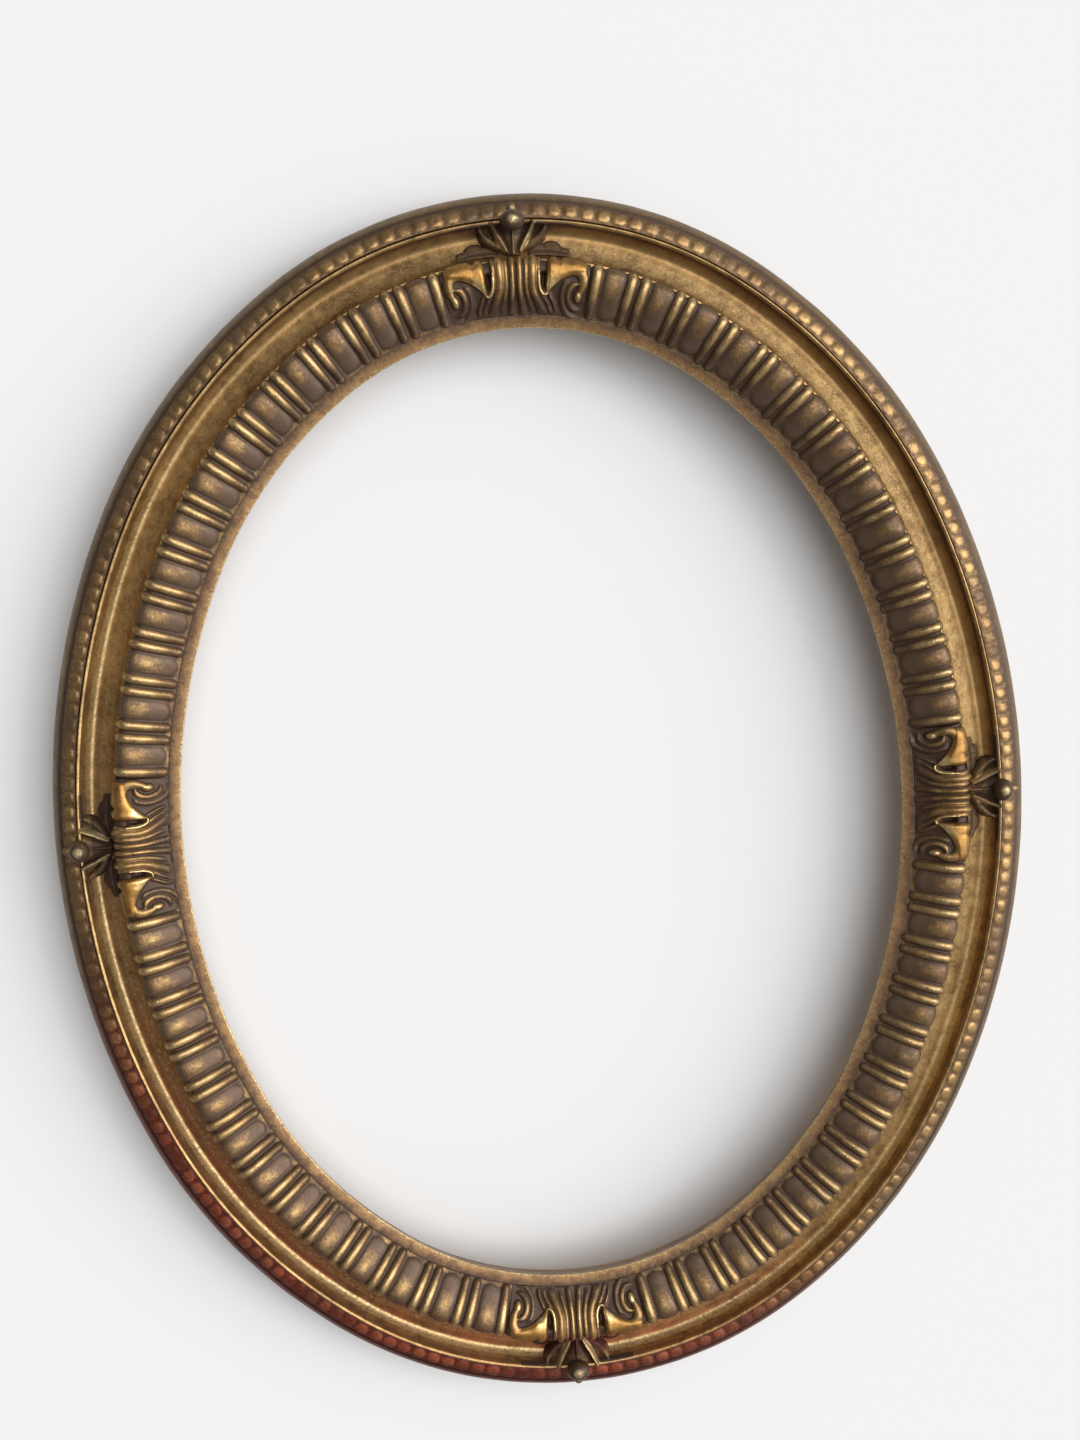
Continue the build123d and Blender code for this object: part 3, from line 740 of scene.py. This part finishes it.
def borderShape(start, length, seed):
    b = border
    pitch = length / b["count"]

    def shape(t, v):
        along, turn = t * length, (v - 0.5) * math.pi
        across = b["half"] * np.sin(turn)
        x = along - pitch / 2
        tip = np.rint(x / pitch)
        vary = np.sin(tip * 12.9898 + seed * 4.1) * 0.5 + np.sin(tip * 4.73 + seed) * 0.5
        x = x - pitch * (tip + 0.05 * vary)
        narrowed = 1 - 0.32 * rampUp(across, 0.0, 3.2)
        sideways = np.abs(x / (b["tongue"][0] * pitch * narrowed)) ** 3
        reach = sideways + np.abs((across - b["shift"]) / b["tongue"][1]) ** 3
        tongue = np.sqrt(np.clip(1 - reach, 0, 1)) * (0.82 + 0.13 * vary)
        fold = 0.16 * np.exp(-((x / 0.4) ** 2)) * rampUp(across, 0.2, 1.6)
        # the strip slopes away from the fillet
        ground = 0.95 * rampUp(across, -3.45, -2.85) * np.clip((3.3 - across) / 5.4, 0, 1) ** 0.8
        relief = softened(0.36 * (tongue - fold * tongue), 2) + ground
        uneven = b["unevenness"] * (handWork(along + start, across, 2.6, 7.0) - 1) * np.cos(turn)
        up = np.clip(b["rise"] * relief * np.minimum(1, 2.5 * np.cos(turn)) + uneven, 0, 3.1)
        surfaceMarks = reliefWear(tongue * 1.2, 9, 0.7, 0.8)
        pale = rampUp(-across, -2.9, -0.6) * rampUp(vary, -1.3, 0.3)
        surfaceMarks["ridge"] = np.clip(0.46 * surfaceMarks["ridge"] + 0.16 * rampUp(tongue, 0.5, 0.8), 0, 1) * pale
        surfaceMarks["recess"] = np.maximum(surfaceMarks["recess"], 0.55 * (1 - rampUp(tongue, 0.1, 0.7)))
        surfaceMarks["recess"] = np.maximum(surfaceMarks["recess"], 0.58 - 0.36 * pale)
        surfaceMarks["dust"] = np.clip(0.34 - 0.3 * vary, 0, 1) * rampUp(tongue, 0.2, 0.6)
        return start + along, b["middle"] + across, b["seat"] + up * (np.cos(turn) > 1e-6), surfaceMarks

    return shape


for k, (name, (first, last)) in enumerate(quarters.items()):
    start, length = first + border["endGap"], last - first - 2 * border["endGap"]
    steps = round(length / border["step"])
    piece = stripPiece("border_strip_" + name, steps, border["rows"], borderShape(start, length, k))
    dress(piece, [giltOrnament], "gilded_composition", "border_" + name)
print("border strips made")


# Leaf clasps: a fan of fronds, and on each side a drilled eye, a broad leaf and its scroll

clasp = {
    "half": 29.0,
    "foot": 5.1,
    "outside": 26.6,
    "top": 31.0,
    "shoulder": 3.6,
    "seat": 24.0,
    "rise": 2.4,
    # ribs of the fan: place at the outer end, half-width, height, how far in they run
    "ribs": ((1.45, 1.15, 1.7, 5.0), (3.9, 1.0, 1.2, 7.0), (6.5, 1.7, 2.2, 6.0), (8.9, 0.75, 1.3, 5.5)),
    "strands": ((11.4, 0.85, 1.2), (14.0, 0.85, 1.0), (16.6, 0.8, 1.1)),  # below the leaf
    "eye": (11.0, 18.4, 1.05, 3.1),  # along, out, half-sizes
    "leafStart": 12.1,
    "leafEnd": 28.0,
    "boss": (25.6, 13.2, 1.7),  # along, out, radius
    "scrolls": ((4.1, 1.25, 1.15), (6.7, 1.15, 0.85)),  # arcs round the boss: radius, half-width, height
    # lines drawn in the ornament, along and out, and their half-widths
    "parting": (((16.8, 30.0), (16.4, 27.0), (15.9, 24.8)), (1.1, 0.9, 0.4)),
    "tip": (((24.0, 22.6), (27.6, 22.4), (27.6, 17.6), (26.0, 14.2)), (1.8, 2.1, 1.8, 1.2)),
    "hook": (((9.1, 22.0), (9.0, 17.0), (9.8, 12.6), (12.6, 13.6)), (0.5, 0.75, 0.85, 0.6)),
    "rows": 104,
    "step": 0.34,
    "unevenness": 0.12,
}


def claspRelief(along, out):
    c = clasp
    a = np.abs(along)
    flare = 1 + 0.75 * rampUp(-out, -19.0, -4.0) ** 1.3 + 0.06 * rampUp(out, 24.0, 30.0)
    relief = np.zeros_like(a)
    for place, half, height, end in c["ribs"]:
        rib = dome((a - place * flare) / (half * flare**0.5), 2.0)
        fade = rampUp(out, end - 1.5, end + 2.0) * (1 - 0.35 * rampUp(-out, -14.0, -8.0))
        relief = np.maximum(relief, rib * height * fade * dome(np.clip((out - 27.0) / 3.5, 0, 1)))
    below = rampUp(-out, -15.5, -12.0) * rampUp(out, 5.0, 7.5)
    for place, half, height in c["strands"]:
        swing = place - 3.2 * rampUp(out, 7.0, 15.0)
        relief = np.maximum(relief, dome((a - swing) / half, 2.0) * height * below)
    # the leaf: broad beside the eye, two lobes on the hollow's side, drawn out to a tip round the boss
    p = np.clip((a - c["leafStart"]) / (c["leafEnd"] - c["leafStart"]), 0, 1)
    outer = 28.8 - 2.6 * p**2 - 2.6 * np.exp(-(((p - 0.30) / 0.06) ** 2)) - 3.0 * np.exp(-((p / 0.05) ** 2))
    inner = 12.4 + 9.4 * (1 - (1 - p) ** 2.3)
    q = np.clip((out - inner) / np.maximum(outer - inner, 0.5), 0, 1)
    across = np.minimum(dome(np.clip(1 - q / 0.34, 0, 1), 2.2), dome(np.clip((q - 0.5) / 0.5, 0, 1), 2.4))
    ends = dome(np.clip((p - 0.8) / 0.2, 0, 1)) * dome(np.clip((0.1 - p) / 0.1, 0, 1))
    parting = stroke(a, out, *c["parting"])
    leaf = across * ends * (2.3 - 0.4 * p) - 0.6 * dome(parting)
    leaf = np.where((a > c["leafStart"]) & (a < c["leafEnd"]), np.maximum(leaf, 0), 0)
    relief = np.maximum(relief, leaf)
    # the leaf's tip turns over to a boss, with arcs of the scroll on the leaf's side of it
    bx, by, br = c["boss"]
    reach = np.hypot(a - bx, (out - by) / 1.25)
    facing = np.abs(np.arctan2((out - by) / 1.25, bx - a))
    relief = np.where(reach < 3.2, np.minimum(relief, 0.3), relief)
    for ring, half, height in c["scrolls"]:
        width = half * (1 - 0.6 * rampUp(facing, 0.6, 2.0))
        arc = dome((reach - ring) / width) * height * rampUp(-facing, -2.1, -1.3)
        relief = np.maximum(relief, arc * rampUp(-out, -19.5, -17.5))
    tip = stroke(a, out, *c["tip"])
    relief = np.maximum(relief, dome(tip) * 1.6)
    relief = np.maximum(relief, dome(np.hypot((a - bx) / br, (out - by) / (1.5 * br))) * 2.0)
    # hooked rim below the eye, then the eye itself
    hook = stroke(a, out, *c["hook"])
    relief = np.maximum(relief, dome(hook) * 2.1)
    ex, ey, ew, el = c["eye"]
    hole = rampUp(-np.hypot((a - ex) / ew, (out - ey) / el), -1.25, -0.6)
    picked = 0.5 * dome(hook) + 0.8 * dome(reach / br) + 0.2 * dome(tip)
    return relief * (1 - hole) - 2.6 * hole, leaf / 2.3, hole, picked


def claspShape(station):
    c = clasp
    bed = leaningSection(c["foot"], c["outside"], c["top"], c["shoulder"], c["seat"], 400)

    def shape(t, v):
        along, walked = (t * 2 - 1) * c["half"], v * bed[0][-1]
        past = walked - bed[0][-1] + c["top"] - c["shoulder"] - c["seat"]
        seen = np.interp(walked, bed[0], bed[1]) + np.maximum(past, 0)
        relief, leaf, hole, picked = claspRelief(along, seen)
        relief = softened(relief, 1)
        uneven = c["unevenness"] * (handWork(along + station, walked, 4.0, 5.0) - 1)
        out, up = onSection(bed, walked, np.clip(relief, -2.6, c["rise"]) + uneven)
        surfaceMarks = reliefWear(relief, 14, 0.9, 0.8)
        crest = rampUp(seen, 8.5, 15.5)
        faded = handWork(along + station, walked, 5.0, 17.0)
        inScroll = rampUp(np.abs(along), 15.0, 17.0) * rampUp(-seen, -20.0, -17.0)
        lively = bump(seen - 17.0, 0, 5.0, 1.0) * (0.75 + 0.6 * faded)
        bright = surfaceMarks["ridge"] * (0.12 + 0.9 * lively) * (1 - leaf) * (1 - 0.7 * inScroll)
        bright = np.clip(bright + 0.6 * picked, 0, 1)
        surfaceMarks["recess"] = np.maximum(surfaceMarks["recess"], 0.9 * (1 - rampUp(relief, 0.3, 1.5)))
        surfaceMarks["recess"] = np.maximum(surfaceMarks["recess"], 0.62 - 0.34 * crest + 0.12 * faded)
        kept = surfaceMarks["recess"] * (1 - 0.85 * bright) * (1 - 0.85 * rampUp(leaf, 0.25, 0.7))
        surfaceMarks["recess"] = np.maximum(kept, hole)
        # the leaf's gold fades out low on the inner slope, and is dimmed on the outer face beyond the crest
        # as painted shade
        shown = rampUp(seen, 11.0, 14.5) * (1 - 0.75 * rampUp(seen, 19.5, 25.0))
        # a painted highlight on each leaf
        spot = bump(np.abs(along) - 15.2, seen - 17.2, 2.6, 3.4)
        surfaceMarks["ridge"] = np.clip(bright + leaf * (0.3 + 0.3 * faded + 0.65 * spot) * shown, 0, 1)
        # painted shade on the outer face beyond the crest
        farOut = 0.3 * rampUp(seen, 21.0, 25.0) + 0.2 * rampUp(seen, 25.0, 28.0)
        surfaceMarks["recess"] = np.maximum(surfaceMarks["recess"], farOut)
        surfaceMarks["dust"] = 0.3 * (1 - crest) * (1 - leaf)
        surfaceMarks["warm"] = rampUp(leaf, 0.2, 0.6) * (0.9 - 0.8 * spot)
        surfaceMarks["warm"] += 0.3 * rampUp(relief, 0.6, 1.4) * (1 - lively)
        return along + station, out, np.maximum(up, c["seat"]), surfaceMarks

    return shape


for name, station in axisPlaces.items():
    steps = round(2 * clasp["half"] / clasp["step"])
    piece = stripPiece("clasp_" + name, steps, clasp["rows"], claspShape(station))
    dress(piece, [giltOrnament], "gilded_composition", "leaf_clasp_" + name)
print("leaf clasps made")


# Buds: a calyx and side leaves over the hollow, a ball on the fillet and a bead on the border

bud = {
    "ball": (42.25, 27.9, 4.3),  # out, up, radius
    "bead": (47.2, 25.2, 1.7),
    "collar": (0.9, 26.6, 2.0),  # out from halfway between them, up, radius
    "start": 29.4,
    "end": 43.0,
    "half": 21.0,
    "rows": 60,
    "step": 0.32,
    "skin": 0.9,  # how far the calyx reaches below the hollow's face
    "sideLobes": ((9.2, 31.0, 4.2), (14.2, 31.6, 4.4), (18.6, 30.2, 3.3)),  # along, out, half-width
    # lines drawn in the calyx, along and out, and their half-widths
    "vein": (((4.0, 30.5), (10.0, 31.8), (15.0, 31.4), (20.0, 30.6)), (0.8, 0.7, 0.6, 0.4)),
    "outerPetal": (((3.6, 31.8), (7.6, 34.0), (10.4, 36.4), (11.4, 40.2)), (1.4, 2.2, 2.1, 1.1)),
    "heldPetal": (((2.4, 30.6), (3.6, 34.0), (5.8, 37.4), (7.2, 42.2)), (0.9, 1.5, 1.55, 0.75)),
    "rubbedLine": (((3.2, 31.0), (4.6, 34.0), (6.9, 37.4), (7.9, 42.0)), (0.6, 0.9, 0.9, 0.6)),
    "stem": (((0, 28.6), (0, 38.5)), (1.3, 1.0)),
}


def calyxTop(x, out):
    b = bud
    a = np.abs(x)
    base = np.where(out < moulding["cove"][-1][0], coveHeight(out), moulding["filletHeight"])
    under = base - 0.6
    q = np.clip((out - 30.0) / 12.0, 0, 1)
    top = under.copy()

    def raised(distance, crown, power=2.0):
        return np.maximum(top, under + (crown - under) * dome(distance, power))

    # low leaf on each side, in three lobes
    for place, far, half in b["sideLobes"]:
        lobe = np.hypot((a - place) / half, (out - far) / (0.95 * half))
        top = raised(lobe, base + 1.3, 4.0)
    vein = stroke(a, out, *b["vein"])
    top = top - 0.7 * dome(vein) * (top > base)
    # outer petals, then the cup, the pair that holds the ball, and the stem
    back = stroke(a, out, *b["outerPetal"])
    top = raised(back, 21.2 + 2.0 * q, 2.4)
    body = a / (2.6 + 3.2 * rampUp(out, 32.0, 39.0))
    top = raised(body, 22.4 + 1.4 * q, 2.6)
    hold = stroke(a, out, *b["heldPetal"])
    top = raised(hold, 23.6 + 2.8 * q, 2.0)
    top = raised(stroke(a, out, *b["stem"]), 24.0 + 0.9 * q)
    return top, base


def calyxShape(station):
    b = bud

    def shape(t, v):
        x = (t * 2 - 1) * b["half"]
        over = v < 0.8  # the sheet goes out over the top and comes back below
        share = np.where(over, v / 0.8, (1 - v) / 0.2)
        out = b["start"] + (b["end"] - b["start"]) * share
        top, base = calyxTop(x, out)
        top = top + 0.08 * handWork(x + station, out, 2.5, 9.0)
        up = np.where(over, top, np.minimum(base - b["skin"], top - 0.2))
        surfaceMarks = reliefWear(np.where(over, top - base, 0), 10, 1.3, 1.0)
        # painted shade on the low side leaves, and the rest of the calyx kept dark
        surfaceMarks["recess"] = np.maximum(surfaceMarks["recess"], 0.8 * (1 - rampUp(top - base, 0.4, 1.8)))
        held = stroke(np.abs(x), out, *b["rubbedLine"])
        surfaceMarks["ridge"] = np.clip(0.25 * surfaceMarks["ridge"] + 0.7 * dome(held) * over, 0, 1)
        surfaceMarks["recess"] = np.maximum(surfaceMarks["recess"], 0.6) * (1 - 0.9 * surfaceMarks["ridge"])
        surfaceMarks["dust"] = np.full_like(x, 0.2)
        return x + station, out, up, surfaceMarks

    return shape


def ballMesh():
    bm = bmesh.new()
    for (out, up, radius), stretch in ((bud["ball"], 1.0), (bud["bead"], 1.5)):
        made = bmesh.ops.create_uvsphere(bm, u_segments=36, v_segments=22, radius=radius)["verts"]
        bmesh.ops.scale(bm, verts=made, vec=(1, stretch, 1))
        bmesh.ops.translate(bm, verts=made, vec=(0, out, up))
    # collar between the ball and the bead
    past, up, radius = bud["collar"]
    neck = bmesh.ops.create_uvsphere(bm, u_segments=24, v_segments=12, radius=radius)["verts"]
    bmesh.ops.scale(bm, verts=neck, vec=(1.15, 0.45, 1.15))
    bmesh.ops.translate(bm, verts=neck, vec=(0, (bud["ball"][0] + bud["bead"][0]) / 2 + past, up))
    for f in bm.faces:
        f.smooth = True
    return bm


for name, station in axisPlaces.items():
    steps = round(2 * bud["half"] / bud["step"])
    calyx = stripPiece("calyx_" + name, steps, bud["rows"], calyxShape(station))
    dress(calyx, [giltOrnament], "gilded_composition", "bud_" + name)
    ball = finishMesh("bud_ball_" + name, ballMesh())
    flat = pointsOf(ball)
    movePoints(ball, bend(flat[:, 0] + station, flat[:, 1], flat[:, 2]))
    # painted shade at the ball's foot, and painted highlights on its top and on the bead; the ball is kept
    # dark
    lowered = rampUp(-flat[:, 2], -27.0, -24.8)
    still = np.zeros(len(flat))
    beyond = rampUp(flat[:, 1], 45.5, 47.0)
    lit = rampUp(flat[:, 2], 30.8, 32.4) * 0.6 + 0.45 * beyond * rampUp(flat[:, 2], 25.5, 27.0)
    paint(ball, band=still + 24.0, ridge=lit, recess=0.72 + 0.28 * lowered - 0.25 * beyond, dust=still)
    dress(ball, [giltOrnament], "gilded_composition", "bud_" + name)
print("buds made")


# Hardware behind, and the tongues inside the joints: the solids themselves, refinished


def refinish(nodeName, material, edge):
    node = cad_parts[nodeName]
    if not node.material_slots:
        node.data.materials.append(material)
    for slotHolder in node.material_slots:
        slotHolder.material = material
    weld = node.modifiers.new("weld", "WELD")
    weld.merge_threshold = 0.00001
    if edge:
        bevel = node.modifiers.new("bevel", "BEVEL")
        bevel.width = edge * mm
        bevel.segments = 2
        bevel.limit_method = "ANGLE"
        bevel.angle_limit = math.radians(40)
        bevel.harden_normals = True
    node.data.polygons.foreach_set("use_smooth", [True] * len(node.data.polygons))


hardware = {
    "turn_button": (agedBrass, 0.25),
    "hanger_plate": (agedSteel, 0.2),
    "hanger_ring": (agedSteel, 0),
    "hanger_screws": (agedSteel, 0.1),
    "joint_tongues": (bareBeech, 0),
}
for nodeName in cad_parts:
    for start, (material, edge) in hardware.items():
        if nodeName.startswith(start):
            refinish(nodeName, material, edge)
print("hardware refinished")


# Stage: a pale wall close behind, a pale floor below, two soft suns and a graded sky

stage = {
    "wallBack": 0.0055,
    "floorBelow": 0.060,
    "size": 8.0,
    "paint": (0.748, 0.757, 0.776, 1),
    "floorPaint": (0.90, 0.90, 0.90, 1),
    # where each sun comes from, its strength and its width
    "suns": {"front": ((0.30, -0.935, 0.19), 1.65, 54.0), "side": ((0.81, -0.58, 0.04), 1.4, 38.0)},
    "sunTint": (1.0, 0.985, 0.955),
    "glowFrom": (0.86, -0.50, 0.03),
    "glow": (0.16, 0.95),  # away from it and towards it
    "skyTint": (1.0, 0.99, 0.975, 1),
    "skySeen": 0.88,  # the sky's level where the camera sees it
}


def backdropFinish(name, colour, inReflections):
    # seen from its front only, so that the frame's back can be looked at
    n = Nodes(name)
    seen = n.add("LightPath")
    if inReflections:
        path = n.tree.nodes[-1]
        seen = n.math("MAXIMUM", path.outputs["Is Camera Ray"], path.outputs["Is Glossy Ray"])
    facing = n.math("SUBTRACT", 1.0, n.add("NewGeometry", out=6))
    shown = n.math("MULTIPLY", seen, facing)
    clear = n.add("BsdfTransparent")
    painted = n.add("BsdfDiffuse", Color=colour)
    return n.surface(n.add("MixShader", i0=shown, i1=clear, i2=painted))


def backdrop(name, turn, place, finish):
    bm = bmesh.new()
    bmesh.ops.create_grid(bm, x_segments=1, y_segments=1, size=stage["size"] / 2)
    piece = finishMesh(name, bm)
    piece.rotation_euler = (math.radians(turn), 0, 0)
    piece.location = place
    piece.data.materials.append(finish)


lowest = cadBox[0].z - stage["floorBelow"]
wallPaint = backdropFinish("wallPaint", stage["paint"], True)
floorPaint = backdropFinish("floorPaint", stage["floorPaint"], False)
backdrop("wall", 90, (0, stage["wallBack"], lowest + stage["size"] / 2), wallPaint)
backdrop("floor", 0, (0, stage["wallBack"] - stage["size"] / 2, lowest), floorPaint)

for name, (towards, strength, width) in stage["suns"].items():
    sunData = bpy.data.lights.new(name, "SUN")
    sunData.energy = strength
    sunData.angle = math.radians(width)
    sunData.color = stage["sunTint"]
    sun = bpy.data.objects.new(name, sunData)
    sun.rotation_mode = "QUATERNION"
    sun.rotation_quaternion = Vector(towards).to_track_quat("Z", "Y")
    bpy.context.scene.collection.objects.link(sun)


def skyLight():
    world = bpy.data.worlds.new("sky")
    bpy.context.scene.world = world
    n = Nodes("sky", world)
    way = n.add("TexCoord", out=0)
    toGlow = Vector(stage["glowFrom"]).normalized()
    near = n.along(way, toGlow)
    n.add("SeparateXYZ", Vector=way)
    split = n.tree.nodes[-1]
    glow = n.span(near, 0.15, 0.95, *stage["glow"])
    behind = n.span(split.outputs[1], 0.0, 0.35)
    rear = n.span(split.outputs[2], -0.8, 0.8, 0.40, 0.85)
    level = n.add("Mix", settings={"data_type": "FLOAT"}, i0=behind, i2=glow, i3=rear)
    lightPath = n.add("LightPath")
    strength = n.add("Mix", settings={"data_type": "FLOAT"}, i0=lightPath, i2=level, i3=stage["skySeen"])
    shader = n.add("Background", Color=stage["skyTint"], Strength=strength)
    n.add("OutputWorld", Surface=shader)


skyLight()

view = {
    "place": (-0.0366, -0.7699, 0.1443),
    "turn": (82.194, 3.283, -3.242),
    "lens": 45.0,
    "sensor": 36.0,
}
cameraData = bpy.data.cameras.new("camera")
cameraData.lens = view["lens"]
cameraData.sensor_width = view["sensor"]
camera = bpy.data.objects.new("camera", cameraData)
camera.location = view["place"]
camera.rotation_euler = [math.radians(t) for t in view["turn"]]
bpy.context.scene.collection.objects.link(camera)
bpy.context.scene.camera = camera
bpy.context.scene.view_settings.view_transform = "Standard"
print("stage set")
